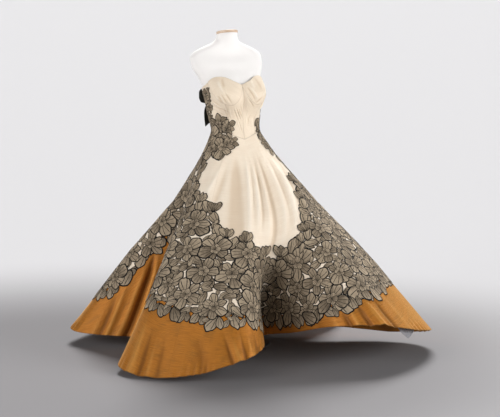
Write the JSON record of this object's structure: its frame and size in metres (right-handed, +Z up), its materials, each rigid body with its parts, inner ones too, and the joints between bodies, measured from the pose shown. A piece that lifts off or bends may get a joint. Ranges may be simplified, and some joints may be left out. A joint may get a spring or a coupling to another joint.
{
  "type": "ball gown on a dress form",
  "caption": "Strapless ball gown with pointed waist, lobed full skirt, black lace overlay, copper hem band and back bow, standing on a limbless dress form.",
  "frame": {"origin": "on the floor, on the axis of the form's pole", "axes": "+Z up, the gown faces -Y, +X is the wearer's left"},
  "size_m": [1.6056, 1.5639, 1.549],
  "materials": {
    "faille": "cream silk faille, fine crosswise rib, soft sheen",
    "shantung": "copper slubbed silk shantung, warm sheen",
    "lace": "black corded floral lace over ivory, matt",
    "velvet": "black silk velvet with a short nap",
    "net": "grey stiff net, matt",
    "form_cover": "white tight knit cover over a padded form, matt",
    "cap_wood": "pale turned wood, satin varnish",
    "stand_metal": "dark grey satin paint on steel"
  },
  "bodies": {
    "root": {"skirt_front": "faille", "hem_front": "shantung", "skirt_side_left": "faille", "hem_side_left": "shantung", "skirt_back": "faille", "hem_back": "shantung", "skirt_side_right": "faille", "hem_side_right": "shantung", "bodice_front_left": "faille", "bodice_side_left": "faille", "bodice_back_left": "faille", "bodice_cup_left": "faille", "lace_skirt_left": "lace", "lace_bodice_left": "lace", "bow_loop_left": "velvet", "bow_tail_left": "velvet", "bodice_front_right": "faille", "bodice_side_right": "faille", "bodice_back_right": "faille", "bodice_cup_right": "faille", "lace_skirt_right": "lace", "lace_bodice_right": "lace", "bow_loop_right": "velvet", "bow_tail_right": "velvet", "bow_knot": "velvet", "underskirt_flounce": "net", "form_torso": "form_cover", "form_cap": "cap_wood", "form_base": "stand_metal", "form_pole": "stand_metal"}
  },
  "joints": []
}
